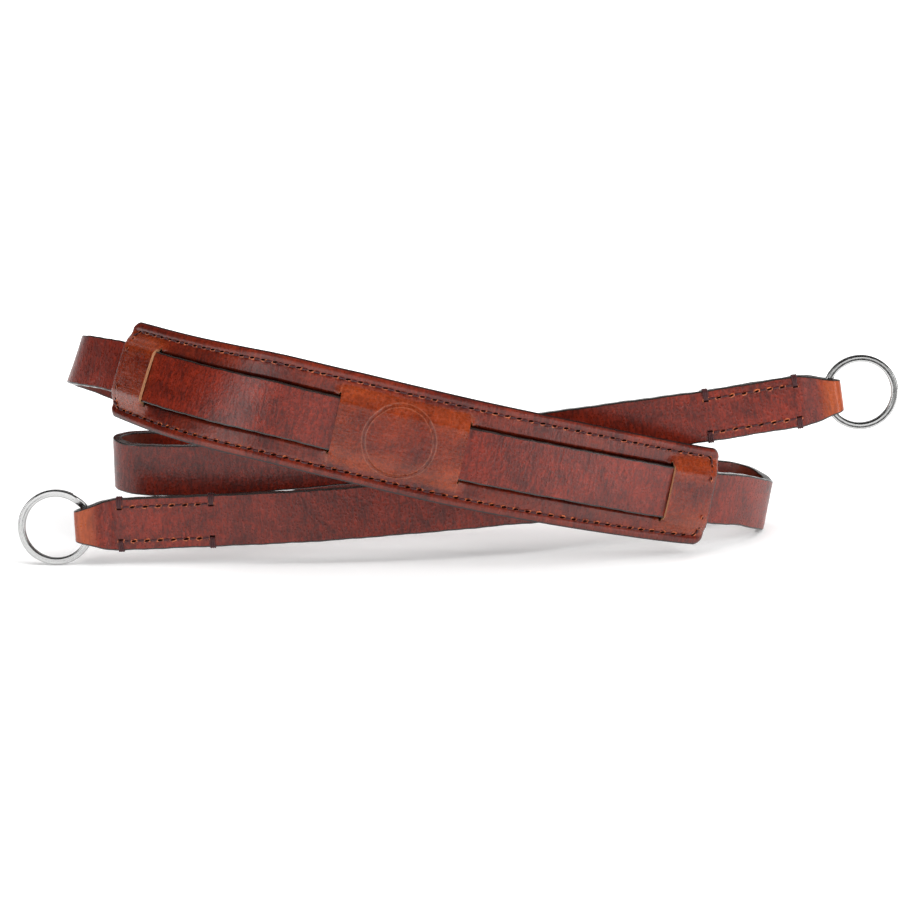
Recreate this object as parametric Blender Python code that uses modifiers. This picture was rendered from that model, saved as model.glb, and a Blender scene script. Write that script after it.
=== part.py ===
# Camera neck strap of cognac leather: one long band with a steel split ring folded into each end, and a
# stitched shoulder pad that the band is threaded through. It lies on its edges, bent into a flat cross.
# Metres, +Z up. X runs along the laid strap, Y runs away from the viewer, and Z = 0 is the surface it lies on.

import math

import bmesh
import bpy
import numpy as np
from mathutils import Vector

# How the strap is laid: the distance that the across column counts in, and the one of the back column
LAID_SPAN = 0.200
LAID_DEPTH = 0.100
# The middle of the laid strap in those columns, which becomes X = 0 and Y = 0
MIDDLE_ACROSS = 0.0145
MIDDLE_BACK = 0.273

# Band
BAND_WIDTH = 0.0150
BAND_THICKNESS = 0.0026
BAND_CHAMFER = 0.0005
BAND_STEP = 0.0055

# Folded ends of the band: two skived layers round the ring's wire
LAYER_THICKNESS = 0.00115
LAYER_GAP = 0.0003
FOLDED_LENGTH = 0.0400
SKIVE_LENGTH = 0.0040
EYE_LENGTH = 0.0110
TIP_WIDTH = 0.0091

# Split rings: flat wire wound nearly twice round
RING_DIAMETER = 0.0216
WIRE_WIDTH = 0.0020
WIRE_THICKNESS = 0.00092
TURN_GAP = 0.00018
RING_SLACK = 0.0024

# Shoulder pad
PAD_LENGTH = 0.1915
PAD_MIDDLE_WIDTH = 0.0302
PAD_END_WIDTH = 0.0280
PAD_CORNER_RADIUS = 0.0030
PAD_TOP_THICKNESS = 0.0012
PAD_BACK_THICKNESS = 0.0014
END_KEEPER_LENGTH = 0.0162
CENTRE_KEEPER_LENGTH = 0.0370
SLIT_LENGTH = 0.0172
SLIT_WIDTH = 0.0006
MARGIN_STEP = 0.0011
PAD_STEP = 0.0042

# Clearance between pieces that touch
PLAY = 0.0003

# The band's route, from the left ring to the right ring. across counts in LAID_SPAN and back in LAID_DEPTH,
# lift is the height of the band's middle in band widths, and lean is how far the upper edge tips to the left
# of the way along, in degrees.
ROUTE = (
    # place, across, back, lift, lean
    ("left eye", -0.532, 0.009, 0.731, 9),
    ("left tab", -0.489, 0.011, 0.756, 9),
    ("left tab end", -0.420, 0.015, 0.787, 9),
    ("left strand", -0.300, 0.027, 0.833, 9),
    ("left strand", -0.200, 0.034, 0.887, 10),
    ("left strand", -0.100, 0.050, 0.960, 10),
    ("left strand", 0.000, 0.077, 1.020, 10),
    ("left strand", 0.100, 0.116, 1.067, 10),
    ("left strand", 0.200, 0.176, 1.067, 9),
    ("left strand", 0.300, 0.265, 1.013, 9),
    ("right fold", 0.360, 0.333, 0.900, 9),
    ("right fold", 0.405, 0.382, 0.790, 9),
    ("right fold", 0.438, 0.400, 0.670, 10),
    ("right fold", 0.459, 0.378, 0.560, 10),
    ("right fold", 0.470, 0.328, 0.512, 9),
    ("right fold", 0.456, 0.260, 0.660, 4),
    ("right fold", 0.424, 0.186, 0.890, 1),
    ("pad strand", 0.380, 0.112, 1.080, -1),
    ("pad strand", 0.344, 0.068, 1.227, -3),
    ("pad strand", 0.270, 0.018, 1.487, -6),
    ("pad strand", 0.155, -0.038, 1.887, -9),
    ("pad strand", 0.030, -0.082, 2.313, -9),
    ("pad middle", -0.070, -0.096, 2.653, -9),
    ("pad strand", -0.155, -0.095, 2.933, -9),
    ("pad strand", -0.275, -0.058, 3.260, -16),
    ("pad strand", -0.375, 0.060, 3.373, -24),
    ("upper fold", -0.471, 0.250, 3.413, -22),
    ("upper fold", -0.529, 0.390, 3.327, -20),
    ("upper fold", -0.561, 0.500, 3.180, -21),
    ("upper fold", -0.542, 0.595, 2.870, -16),
    ("upper fold", -0.490, 0.640, 2.480, -8),
    ("return strand", -0.425, 0.660, 2.060, -3),
    ("return strand", -0.325, 0.670, 1.450, 0),
    ("return strand", -0.235, 0.665, 0.920, 0),
    ("return strand", -0.160, 0.660, 0.610, 0),
    ("floor strand", -0.090, 0.650, 0.500, 0),
    ("floor strand", 0.025, 0.640, 0.500, 0),
    ("floor strand", 0.140, 0.635, 0.500, 0),
    ("rear fold", 0.195, 0.628, 0.500, 0),
    ("rear fold", 0.234, 0.608, 0.500, 0),
    ("rear fold", 0.254, 0.545, 0.500, 0),
    ("rear fold", 0.234, 0.482, 0.505, 0),
    ("rear fold", 0.195, 0.458, 0.535, 0),
    ("hidden strand", 0.110, 0.440, 0.640, 0),
    ("hidden strand", -0.050, 0.425, 0.867, 0),
    ("hidden strand", -0.225, 0.400, 1.160, 0),
    ("hidden strand", -0.350, 0.374, 1.345, 0),
    ("lower fold", -0.432, 0.358, 1.445, 0),
    ("lower fold", -0.471, 0.340, 1.480, 0),
    ("lower fold", -0.490, 0.278, 1.500, 0),
    ("lower fold", -0.471, 0.216, 1.490, 2),
    ("lower fold", -0.432, 0.197, 1.475, 5),
    ("right strand", -0.380, 0.192, 1.475, 7),
    ("right strand", -0.300, 0.186, 1.547, 8),
    ("right strand", -0.150, 0.180, 1.740, 8),
    ("right strand", 0.000, 0.172, 1.950, 8),
    ("right strand", 0.125, 0.172, 2.145, 8),
    ("right strand", 0.250, 0.182, 2.362, 8),
    ("right tab end", 0.375, 0.190, 2.583, 8),
    ("right tab", 0.475, 0.190, 2.808, 8),
    ("right eye", 0.563, 0.186, 2.998, 8),
)

# Width of a folded end, from the eye's outermost point towards the tab
TIP_TAPER = (
    # along in eye lengths, taper left in shares of the difference between band and tip
    (0.00, 1.00),
    (0.36, 0.64),
    (0.75, 0.19),
    (1.00, 0.00),
)

# Half the opening of an eye, from the bend's centre to the point where its layers meet
EYE_OPENING = (
    # along in shares of what the bend leaves of the eye, opening left in shares of the full one
    (0.00, 1.00),
    (0.40, 1.00),
    (0.70, 0.52),
    (0.88, 0.12),
    (1.00, 0.00),
)

COLLECTION = "camera_neck_strap"


def clear_scene():
    for old in list(bpy.data.objects):
        bpy.data.objects.remove(old)


def smooth_step(x):
    x = min(max(x, 0.0), 1.0)
    return x * x * (3.0 - 2.0 * x)


def material(name, colour, metallic, roughness):
    made = bpy.data.materials.new(name)
    made.use_nodes = True
    shader = made.node_tree.nodes["Principled BSDF"]
    shader.inputs["Base Color"].default_value = (*colour, 1.0)
    shader.inputs["Metallic"].default_value = metallic
    shader.inputs["Roughness"].default_value = roughness
    made.diffuse_color = (*colour, 1.0)
    return made


def flowing_line(knots, values, at):
    """A smooth line through the values, with a bend that changes evenly (a natural cubic spline)."""
    gaps = np.diff(knots)
    slopes = np.diff(values) / gaps
    count = len(knots)
    system = np.eye(count)
    right = np.zeros(count)
    for i in range(1, count - 1):
        system[i, i - 1 : i + 2] = gaps[i - 1], 2.0 * (gaps[i - 1] + gaps[i]), gaps[i]
        right[i] = 6.0 * (slopes[i] - slopes[i - 1])
    bends = np.linalg.solve(system, right)
    i = np.clip(np.searchsorted(knots, at, side="right") - 1, 0, count - 2)
    before = at - knots[i]
    after = knots[i + 1] - at
    curve = (bends[i] * after**3 + bends[i + 1] * before**3) / (6.0 * gaps[i])
    low = (values[i] / gaps[i] - bends[i] * gaps[i] / 6.0) * after
    high = (values[i + 1] / gaps[i] - bends[i + 1] * gaps[i] / 6.0) * before
    return curve + low + high


def level_line(knots, values, at):
    """A smooth line through the values that never passes a value and stays level between equal ones."""
    gaps = np.diff(knots)
    slopes = np.diff(values) / gaps
    tangents = np.zeros(len(knots))
    for i in range(1, len(knots) - 1):
        if slopes[i - 1] * slopes[i] > 0.0:
            tangents[i] = 2.0 * slopes[i - 1] * slopes[i] / (slopes[i - 1] + slopes[i])
    tangents[0], tangents[-1] = slopes[0], slopes[-1]
    i = np.clip(np.searchsorted(knots, at, side="right") - 1, 0, len(knots) - 2)
    x = (at - knots[i]) / gaps[i]
    start = values[i] * (1.0 + 2.0 * x) * (1.0 - x) ** 2 + tangents[i] * gaps[i] * x * (1.0 - x) ** 2
    end = values[i + 1] * x * x * (3.0 - 2.0 * x) + tangents[i + 1] * gaps[i] * x * x * (x - 1.0)
    return start + end


class Route:
    """The middle line of the band, read by the distance along it."""

    SAMPLE = 0.0005

    def __init__(self):
        across = (np.array([row[1] for row in ROUTE]) - MIDDLE_ACROSS) * LAID_SPAN
        back = (np.array([row[2] for row in ROUTE]) - MIDDLE_BACK) * LAID_DEPTH
        lift = np.array([row[3] for row in ROUTE]) * BAND_WIDTH
        lean = np.radians([row[4] for row in ROUTE])
        chords = np.sqrt(np.diff(across) ** 2 + np.diff(back) ** 2 + np.diff(lift) ** 2)
        knots = np.concatenate([[0.0], np.cumsum(chords)])
        at = np.linspace(0.0, knots[-1], int(knots[-1] / self.SAMPLE) + 1)
        self.points = np.stack(
            [
                flowing_line(knots, across, at),
                flowing_line(knots, back, at),
                level_line(knots, lift, at),
            ],
            axis=1,
        )
        self.leans = level_line(knots, lean, at)
        steps = np.linalg.norm(np.diff(self.points, axis=0), axis=1)
        self.along = np.concatenate([[0.0], np.cumsum(steps)])
        self.length = float(self.along[-1])
        self.tangents = np.gradient(self.points, self.along, axis=0)
        self.places = {row[0]: float(np.interp(k, at, self.along)) for row, k in zip(ROUTE, knots)}

    def frame(self, along):
        """Middle, way along, way up the width, and way out of the left face, at a distance along the band."""
        beyond = along - min(max(along, 0.0), self.length)
        middle = Vector([np.interp(along, self.along, self.points[:, k]) for k in range(3)])
        way = Vector([np.interp(along, self.along, self.tangents[:, k]) for k in range(3)]).normalized()
        lean = float(np.interp(along, self.along, self.leans))
        upright = (Vector((0.0, 0.0, 1.0)) - way * way.z).normalized()
        left = upright.cross(way)
        up = upright * math.cos(lean) + left * math.sin(lean)
        return middle + way * beyond, way, up, up.cross(way)


def chamfered_section(middle, wide, thick, chamfer):
    """Eight corners of a flat strip's section; wide and thick reach from the middle to its sides."""
    wide_cut = wide * (1.0 - chamfer / wide.length)
    thick_cut = thick * (1.0 - chamfer / thick.length)
    corners = (
        (wide_cut, thick),
        (wide, thick_cut),
        (wide, -thick_cut),
        (wide_cut, -thick),
        (-wide_cut, -thick),
        (-wide, -thick_cut),
        (-wide, thick_cut),
        (-wide_cut, thick),
    )
    return [middle + a + b for a, b in corners]


def lofted(name, sections, finish, collection):
    """One closed body through sections of equally many corners, capped at both ends."""
    mesh = bpy.data.meshes.new(name)
    bm = bmesh.new()
    rings = [[bm.verts.new(corner) for corner in section] for section in sections]
    sides = len(rings[0])
    for first, second in zip(rings, rings[1:]):
        for i in range(sides):
            j = (i + 1) % sides
            bm.faces.new((first[i], first[j], second[j], second[i]))
    bm.faces.new(rings[0][::-1])
    bm.faces.new(rings[-1])
    bmesh.ops.recalc_face_normals(bm, faces=bm.faces[:])
    bm.to_mesh(mesh)
    bm.free()
    return add_object(name, mesh, finish, collection)


def add_object(name, mesh, finish, collection):
    mesh.materials.append(finish)
    mesh.shade_smooth()
    mesh.set_sharp_from_angle(angle=math.radians(35.0))
    made = bpy.data.objects.new(name, mesh)
    collection.objects.link(made)
    return made


def table_value(table, x):
    return float(np.interp(x, [row[0] for row in table], [row[1] for row in table]))


# The eyes: half of what lies between the layers' middle lines, where they meet and where the wire passes
LAYERS_APART = (LAYER_THICKNESS + LAYER_GAP) / 2.0
WIRE_STACK = 2.0 * WIRE_THICKNESS + TURN_GAP
EYE_RADIUS = WIRE_STACK / 2.0 + 1.5 * PLAY + LAYER_THICKNESS / 2.0
BEND_POINTS = 6


def tip_width(from_tip):
    taper = table_value(TIP_TAPER, from_tip / EYE_LENGTH)
    return BAND_WIDTH - (BAND_WIDTH - TIP_WIDTH) * taper


def layer_offset(from_tip):
    """How far a layer's middle lies off the band's middle plane, behind the bend of the eye."""
    share = (from_tip - EYE_RADIUS) / (EYE_LENGTH - EYE_RADIUS)
    return LAYERS_APART + (EYE_RADIUS - LAYERS_APART) * table_value(EYE_OPENING, share)


def folded_end():
    """Stations of a folded end as distance from the tip, offset to the fold-back side, and thickness."""
    straight = [FOLDED_LENGTH, FOLDED_LENGTH * 0.85, FOLDED_LENGTH * 0.7, FOLDED_LENGTH * 0.55]
    straight += [FOLDED_LENGTH * 0.4, EYE_LENGTH]
    opening = [EYE_RADIUS + (EYE_LENGTH - EYE_RADIUS) * share for share in (0.88, 0.70, 0.55, 0.40, 0.20, 0.0)]
    run = straight + opening
    stations = [(d, layer_offset(d), LAYER_THICKNESS) for d in run]
    for i in range(1, BEND_POINTS):
        angle = math.pi * i / BEND_POINTS
        stations.append((EYE_RADIUS * (1.0 - math.sin(angle)), EYE_RADIUS * math.cos(angle), LAYER_THICKNESS))
    stations += [(d, -layer_offset(d), LAYER_THICKNESS) for d in run[::-1]]
    stations.append((FOLDED_LENGTH + PLAY, -LAYERS_APART, LAYER_THICKNESS))
    stations.append((FOLDED_LENGTH + PLAY + SKIVE_LENGTH, 0.0, BAND_THICKNESS))
    return stations


def build_band(route, finish, collection):
    """The band: folded end, one layer of full thickness, folded end."""
    end = folded_end()
    placed = [(d, offset, thickness, tip_width(d)) for d, offset, thickness in end]
    first_full = end[-1][0] + BAND_STEP
    last_full = route.length - first_full
    count = int(round((last_full - first_full) / BAND_STEP))
    for i in range(count + 1):
        along = first_full + (last_full - first_full) * i / count
        placed.append((along, 0.0, BAND_THICKNESS, BAND_WIDTH))
    # The fold-back layer lies on the face away from the viewer, the left one on both of these strands
    for d, offset, thickness in end[::-1]:
        placed.append((route.length - d, offset, thickness, tip_width(d)))

    middles, ups, halves = [], [], []
    for along, offset, thickness, width in placed:
        middle, _, up, left = route.frame(along)
        middles.append(middle + left * offset)
        ups.append(up)
        halves.append((width / 2.0, thickness / 2.0))
    sections = []
    for i, middle in enumerate(middles):
        before = middles[max(i - 1, 0)]
        after = middles[min(i + 1, len(middles) - 1)]
        way = (after - before).normalized()
        up = (ups[i] - way * ups[i].dot(way)).normalized()
        half_width, half_thickness = halves[i]
        chamfer = BAND_CHAMFER * min(1.0, half_thickness / (BAND_THICKNESS / 2.0))
        sections.append(chamfered_section(middle, up * half_width, up.cross(way) * half_thickness, chamfer))
    return lofted("strap_band", sections, finish, collection)


# The rings: the wire steps from one turn to the next in the gap that its two ends leave
TURN_DEGREES = 690
STEP_FROM_DEGREES = 334
STEP_TO_DEGREES = 357
DEGREES_A_STATION = 13.8
RING_RADIUS = (RING_DIAMETER - WIRE_WIDTH) / 2.0
WIRE_CHAMFER = 0.3 * WIRE_THICKNESS


def build_ring(name, route, tip_along, outward, gap_degrees, finish, collection):
    """A split ring in the plane of the band's end, with its wire through the eye."""
    tip, way, up, left = route.frame(tip_along)
    to_wire = LAYER_THICKNESS / 2.0 + RING_SLACK + WIRE_WIDTH / 2.0
    centre = tip + way * outward * (RING_RADIUS - to_wire)
    turn_offset = (WIRE_THICKNESS + TURN_GAP) / 2.0
    sections = []
    count = int(round(TURN_DEGREES / DEGREES_A_STATION))
    for i in range(count + 1):
        degrees = TURN_DEGREES * i / count
        angle = math.radians(degrees + gap_degrees)
        radial = way * outward * math.cos(angle) + up * math.sin(angle)
        stepped = smooth_step((degrees - STEP_FROM_DEGREES) / (STEP_TO_DEGREES - STEP_FROM_DEGREES))
        middle = centre + radial * RING_RADIUS + left * turn_offset * (2.0 * stepped - 1.0)
        wide = radial * WIRE_WIDTH / 2.0
        thick = left * WIRE_THICKNESS / 2.0
        sections.append(chamfered_section(middle, wide, thick, WIRE_CHAMFER))
    return lofted(name, sections, finish, collection)


# The pad's levels, counted from the band's middle plane towards the pad's front
WINDOW_LEVEL = -(BAND_THICKNESS / 2.0 + PLAY + PAD_TOP_THICKNESS / 2.0)
KEEPER_LEVEL = BAND_THICKNESS / 2.0 + PLAY + PAD_TOP_THICKNESS / 2.0
BACK_LEVEL = WINDOW_LEVEL - PAD_TOP_THICKNESS / 2.0 - PLAY - PAD_BACK_THICKNESS / 2.0
# A keeper is level over the band and comes down beside it
KEEPER_SHOULDER = BAND_WIDTH / 2.0 + PLAY / 2.0
KEEPER_FOOT = SLIT_LENGTH / 2.0 + 1.3 * PAD_TOP_THICKNESS
KEEPER_RUN_OUT = 0.0014
# Beside the band the two leathers come forward, and meet round it
MARGIN_FROM = BAND_WIDTH / 2.0 + PLAY
MARGIN_TO = KEEPER_FOOT


def slit_places():
    """Distances of the four slits from the pad's end."""
    centre = PAD_LENGTH / 2.0
    half = CENTRE_KEEPER_LENGTH / 2.0
    return (END_KEEPER_LENGTH, centre - half, centre + half, PAD_LENGTH - END_KEEPER_LENGTH)


def pad_half_width(along):
    """Half the pad's width at a distance from its end, with rounded corners."""
    share = 2.0 * along / PAD_LENGTH - 1.0
    half = (PAD_MIDDLE_WIDTH + (PAD_END_WIDTH - PAD_MIDDLE_WIDTH) * share * share) / 2.0
    from_end = min(along, PAD_LENGTH - along)
    if from_end < PAD_CORNER_RADIUS:
        half -= PAD_CORNER_RADIUS - math.sqrt(PAD_CORNER_RADIUS**2 - (PAD_CORNER_RADIUS - from_end) ** 2)
    return half


def keeper_share(along, off_middle):
    """1 in a keeper and 0 in a window: a jump at a slit, and a run-out past the slit's ends."""
    slits = slit_places()
    past_slit = (off_middle - BAND_WIDTH / 2.0) / (SLIT_LENGTH / 2.0 - BAND_WIDTH / 2.0)
    run_out = max(KEEPER_RUN_OUT * smooth_step(past_slit), SLIT_WIDTH / 4.0)
    into_first = min(along - slits[0], slits[1] - along)
    into_second = min(along - slits[2], slits[3] - along)
    into_window = max(into_first, into_second)
    return smooth_step(0.5 - into_window / (2.0 * run_out))


def margin_level(under_band, off_middle):
    """A leather's level behind the band, and further forward beside it."""
    return under_band + MARGIN_STEP * smooth_step((off_middle - MARGIN_FROM) / (MARGIN_TO - MARGIN_FROM))


def top_level(along, off_middle):
    """Level of the top leather's middle surface."""
    shoulder = smooth_step((KEEPER_FOOT - off_middle) / (KEEPER_FOOT - KEEPER_SHOULDER))
    raised = shoulder * keeper_share(along, off_middle)
    beside = margin_level(WINDOW_LEVEL, off_middle)
    return beside + (KEEPER_LEVEL - beside) * raised


def pad_rows():
    """Distances along the pad at which its leather has a row of points."""
    rounding = [PAD_CORNER_RADIUS * share for share in (0.0, 0.12, 0.4, 1.0)]
    fixed = set(rounding) | {PAD_LENGTH - d for d in rounding}
    for slit in slit_places():
        for off in (0.5 * SLIT_WIDTH, 0.5 * SLIT_WIDTH + 0.5 * KEEPER_RUN_OUT, KEEPER_RUN_OUT + 0.5 * SLIT_WIDTH):
            fixed |= {slit - off, slit + off}
    fixed = sorted(fixed)
    rows = [fixed[0]]
    for place in fixed[1:]:
        parts = max(1, math.ceil((place - rows[-1]) / PAD_STEP))
        start = rows[-1]
        rows += [start + (place - start) * i / parts for i in range(1, parts + 1)]
    return rows


def leather_sheet(name, route, pad_start, level, columns, thickness, slits, finish, collection):
    """A sheet of pad leather: a grid of points on its middle surface, thickened by Solidify."""
    mesh = bpy.data.meshes.new(name)
    bm = bmesh.new()
    grid = []
    rows = pad_rows()
    for along in rows:
        middle, _, up, front = route.frame(pad_start + along)
        half = pad_half_width(along)
        row = []
        for side, fixed, rest in columns:
            off = fixed + (half - fixed) * rest
            point = middle + up * side * off + front * level(along, off)
            row.append((off, bm.verts.new(point)))
        grid.append(row)
    for i in range(len(rows) - 1):
        between = (rows[i] + rows[i + 1]) / 2.0
        in_slit = any(abs(between - slit) < SLIT_WIDTH / 4.0 for slit in slits)
        for j in range(len(columns) - 1):
            outer = max(grid[i][j][0], grid[i][j + 1][0])
            if in_slit and outer < SLIT_LENGTH / 2.0 + 1e-6:
                continue
            corners = (grid[i][j], grid[i][j + 1], grid[i + 1][j + 1], grid[i + 1][j])
            bm.faces.new([corner[1] for corner in corners])
    bmesh.ops.delete(bm, geom=[v for v in bm.verts if not v.link_faces], context="VERTS")
    bmesh.ops.recalc_face_normals(bm, faces=bm.faces[:])
    bm.to_mesh(mesh)
    bm.free()
    sheet = add_object(name, mesh, finish, collection)
    wall = sheet.modifiers.new("leather", "SOLIDIFY")
    wall.thickness = thickness
    wall.offset = 0.0
    return sheet


def sheet_columns(places):
    """Columns across a sheet, lower side to upper side: the side, the fixed place and the share of the rest."""
    upper = [(1, fixed, rest) for fixed, rest in places]
    lower = [(-1, fixed, rest) for fixed, rest in reversed(places) if fixed or rest]
    return lower + upper


def build_pad(route, top_finish, back_finish, collection):
    """The pad: a top leather with slits and three keepers, on a plain back leather."""
    start = route.places["pad middle"] - PAD_LENGTH / 2.0
    slit_end = SLIT_LENGTH / 2.0
    shoulder = (slit_end - KEEPER_SHOULDER) / 2.0
    top_places = (
        (0.0, 0.0),
        (KEEPER_SHOULDER * 0.55, 0.0),
        (KEEPER_SHOULDER, 0.0),
        (KEEPER_SHOULDER + shoulder * 0.65, 0.0),
        (KEEPER_SHOULDER + shoulder * 1.3, 0.0),
        (slit_end, 0.0),
        (KEEPER_FOOT, 0.0),
        (KEEPER_FOOT, 0.45),
        (KEEPER_FOOT, 1.0),
    )
    back_places = tuple(place for place in top_places if place[1] != 0.45)
    leather_sheet(
        "pad_top", route, start, top_level, sheet_columns(top_places), PAD_TOP_THICKNESS,
        slit_places(), top_finish, collection,
    )
    leather_sheet(
        "pad_back", route, start, lambda along, off: margin_level(BACK_LEVEL, off), sheet_columns(back_places),
        PAD_BACK_THICKNESS, (), back_finish, collection,
    )


def build():
    clear_scene()
    collection = bpy.data.collections.new(COLLECTION)
    bpy.context.scene.collection.children.link(collection)
    band_leather = material("band_leather", (0.13, 0.035, 0.018), 0.0, 0.42)
    pad_leather = material("pad_leather", (0.25, 0.06, 0.018), 0.0, 0.40)
    back_leather = material("back_leather", (0.20, 0.06, 0.03), 0.0, 0.60)
    ring_steel = material("ring_steel", (0.62, 0.62, 0.60), 1.0, 0.22)
    route = Route()
    build_band(route, band_leather, collection)
    build_pad(route, pad_leather, back_leather, collection)
    build_ring("ring_left", route, 0.0, -1.0, 150.0, ring_steel, collection)
    build_ring("ring_right", route, route.length, 1.0, 194.0, ring_steel, collection)


build()
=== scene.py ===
import math

import bmesh
import bpy
import numpy as np
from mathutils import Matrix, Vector


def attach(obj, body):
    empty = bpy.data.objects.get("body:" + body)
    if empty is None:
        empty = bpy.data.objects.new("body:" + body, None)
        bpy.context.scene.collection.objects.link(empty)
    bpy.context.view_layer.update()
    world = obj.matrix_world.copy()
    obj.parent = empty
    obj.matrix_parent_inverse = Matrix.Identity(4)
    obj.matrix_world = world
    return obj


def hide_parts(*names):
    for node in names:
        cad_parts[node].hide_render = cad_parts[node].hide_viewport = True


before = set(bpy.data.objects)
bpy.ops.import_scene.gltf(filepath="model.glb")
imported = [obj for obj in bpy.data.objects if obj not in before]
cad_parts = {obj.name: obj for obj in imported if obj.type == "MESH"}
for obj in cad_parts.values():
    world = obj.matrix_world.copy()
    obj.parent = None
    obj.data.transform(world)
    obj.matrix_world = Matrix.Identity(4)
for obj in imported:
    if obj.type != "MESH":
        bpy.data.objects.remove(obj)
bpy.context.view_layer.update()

# The band is one long strip of cognac leather with painted edges. Each end is skived, folded back round a
# split ring and sewn down as a tab. It lies on its edges, bent into a flat cross, and it follows one line
# from the left ring to the right ring.
LAID_SPAN = 0.200
LAID_DEPTH = 0.100
MIDDLE_ACROSS = 0.0145
MIDDLE_BACK = 0.273
ROUTE_STEP = 0.0005
BAND_WIDTH = 0.0150
BAND_THICKNESS = 0.0026
BAND_STEP = 0.0013
EDGE_ROUNDING = 0.00030
PAINT_BORDER = 0.00018
FACE_CROWN = 0.00003
LAYER_THICKNESS = 0.00115
LAYER_GAP = 0.0001
FOLDED_LENGTH = 0.0400
SKIVE_LENGTH = 0.0040
EYE_LENGTH = 0.0110
TIP_WIDTH = 0.0091
RING_WIRE_STACK = 0.00202
PLAY = 0.0003
TIGHT_BEND = 90.0
PULLED_ROUND_EYE = 0.0045
SHARP_ANGLE = math.radians(50.0)

# Each stretch's points: across in LAID_SPAN, back in LAID_DEPTH, lift in band widths, and lean in degrees
ROUTE = (
    ("left eye", (-0.532, 0.009, 0.731, 9)),
    ("left tab", (-0.489, 0.011, 0.756, 9)),
    ("left tab end", (-0.420, 0.015, 0.787, 9)),
    ("left strand", (-0.300, 0.027, 0.833, 9), (-0.200, 0.034, 0.887, 10), (-0.100, 0.050, 0.960, 10),
     (0.000, 0.077, 1.020, 10), (0.100, 0.116, 1.067, 10), (0.200, 0.176, 1.067, 9),
     (0.300, 0.265, 1.013, 9)),
    ("right fold", (0.360, 0.333, 0.900, 9), (0.405, 0.382, 0.790, 9), (0.438, 0.400, 0.670, 10),
     (0.459, 0.378, 0.560, 10), (0.470, 0.328, 0.512, 9), (0.456, 0.260, 0.660, 4),
     (0.424, 0.186, 0.890, 1)),
    ("pad strand", (0.380, 0.112, 1.080, -1), (0.344, 0.068, 1.227, -3), (0.270, 0.018, 1.487, -6),
     (0.155, -0.038, 1.887, -9), (0.030, -0.082, 2.313, -9)),
    ("pad middle", (-0.070, -0.096, 2.653, -9)),
    ("pad strand", (-0.155, -0.095, 2.933, -9), (-0.275, -0.058, 3.260, -16),
     (-0.375, 0.060, 3.373, -24)),
    ("upper fold", (-0.471, 0.250, 3.413, -22), (-0.529, 0.390, 3.327, -20),
     (-0.561, 0.500, 3.180, -21), (-0.542, 0.595, 2.870, -16), (-0.490, 0.640, 2.480, -8)),
    ("return strand", (-0.425, 0.660, 2.060, -3), (-0.325, 0.670, 1.450, 0), (-0.235, 0.665, 0.920, 0),
     (-0.160, 0.660, 0.610, 0)),
    ("floor strand", (-0.090, 0.650, 0.500, 0), (0.025, 0.640, 0.500, 0), (0.140, 0.635, 0.500, 0)),
    ("rear fold", (0.195, 0.628, 0.500, 0), (0.234, 0.608, 0.500, 0), (0.254, 0.545, 0.500, 0),
     (0.234, 0.482, 0.505, 0), (0.195, 0.458, 0.535, 0)),
    ("hidden strand", (0.110, 0.440, 0.640, 0), (-0.050, 0.425, 0.867, 0), (-0.225, 0.400, 1.160, 0),
     (-0.350, 0.374, 1.345, 0)),
    ("lower fold", (-0.432, 0.358, 1.445, 0), (-0.471, 0.340, 1.480, 0), (-0.490, 0.278, 1.500, 0),
     (-0.471, 0.216, 1.490, 2), (-0.432, 0.197, 1.475, 5)),
    ("right strand", (-0.380, 0.192, 1.475, 7), (-0.300, 0.186, 1.547, 8), (-0.150, 0.180, 1.740, 8),
     (0.000, 0.172, 1.950, 8), (0.125, 0.172, 2.145, 8), (0.250, 0.182, 2.362, 8)),
    ("right tab end", (0.375, 0.190, 2.583, 8)),
    ("right tab", (0.475, 0.190, 2.808, 8)),
    ("right eye", (0.563, 0.186, 2.998, 8)),
)
# Along a folded end in eye lengths, and how much of the taper is left there
TIP_TAPER = ((0.0, 1.0), (0.36, 0.64), (0.75, 0.19), (1.0, 0.0))
# Behind the eye's bend, in shares of the eye, and how much of its opening is left there
EYE_OPENING = ((0.0, 1.0), (0.40, 1.0), (0.70, 0.52), (0.88, 0.12), (1.0, 0.0))


def smooth_step(x):
    x = np.clip(x, 0.0, 1.0)
    return x * x * (3.0 - 2.0 * x)


def flowing_line(knots, values, at):
    """A smooth line through the values, with a bend that changes evenly."""
    gaps = np.diff(knots)
    slopes = np.diff(values) / gaps
    count = len(knots)
    system = np.eye(count)
    right = np.zeros(count)
    for i in range(1, count - 1):
        system[i, i - 1 : i + 2] = gaps[i - 1], 2.0 * (gaps[i - 1] + gaps[i]), gaps[i]
        right[i] = 6.0 * (slopes[i] - slopes[i - 1])
    bends = np.linalg.solve(system, right)
    i = np.clip(np.searchsorted(knots, at, side="right") - 1, 0, count - 2)
    before = at - knots[i]
    after = knots[i + 1] - at
    curve = (bends[i] * after**3 + bends[i + 1] * before**3) / (6.0 * gaps[i])
    low = (values[i] / gaps[i] - bends[i] * gaps[i] / 6.0) * after
    high = (values[i + 1] / gaps[i] - bends[i + 1] * gaps[i] / 6.0) * before
    return curve + low + high


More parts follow.
